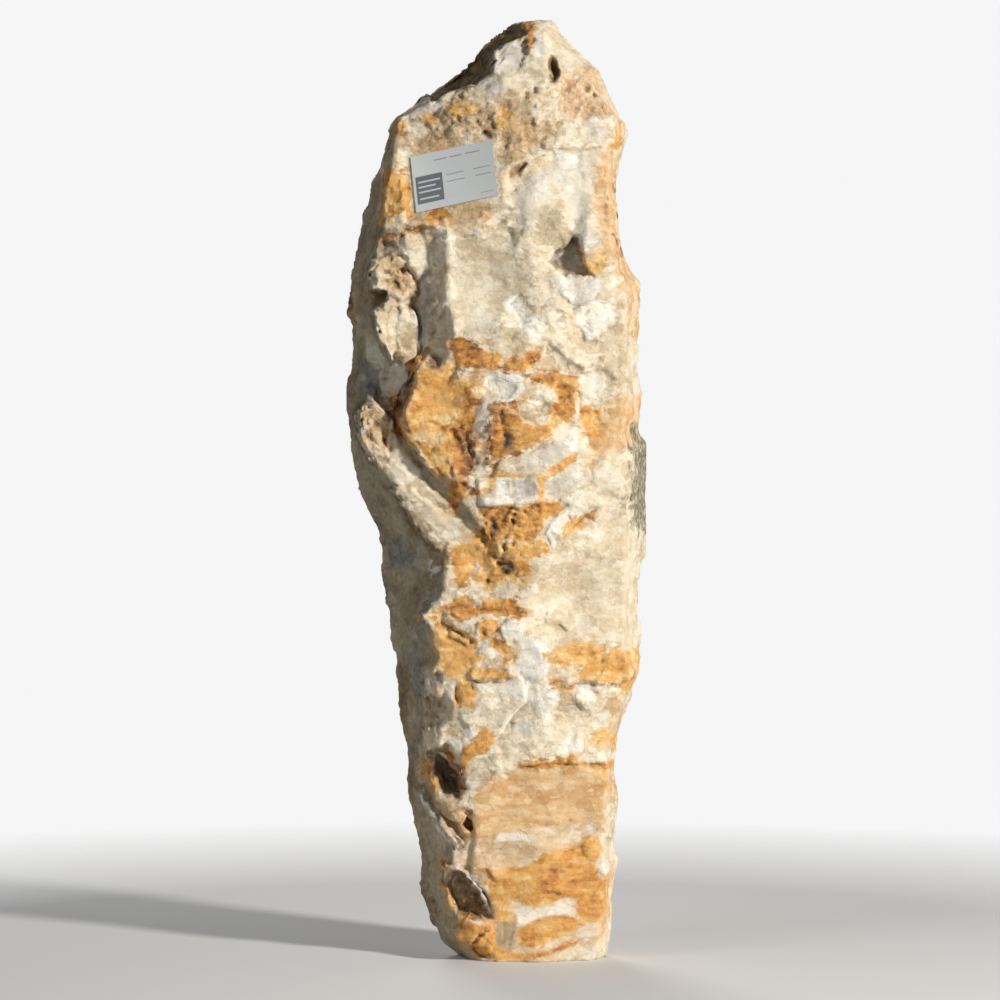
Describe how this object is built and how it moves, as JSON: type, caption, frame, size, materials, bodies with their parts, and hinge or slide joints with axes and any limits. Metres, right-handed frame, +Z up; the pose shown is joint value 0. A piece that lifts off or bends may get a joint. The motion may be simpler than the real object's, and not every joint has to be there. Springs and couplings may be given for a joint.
{
  "type": "onyx monolith",
  "caption": "Tall rough-split garden monolith of banded cream and ochre onyx on a sawn foot, with a paper label card stuck to its front.",
  "frame": {"origin": "under the middle of the bounding box, on the plane that the sawn foot stands on", "axes": "+Z up along the stone, +X to the right seen from the front, +Y from the front to the back, through the stone's thickness"},
  "size_m": [0.3732, 0.1886, 1.16],
  "materials": {
    "onyx": "rough split calcite onyx: cream with ochre iron stain, white crystal patches and coarse brown crust",
    "card": "smooth white label card with plain grey printing"
  },
  "bodies": {
    "root": {"stone": "onyx", "label_card": "card"}
  },
  "joints": []
}
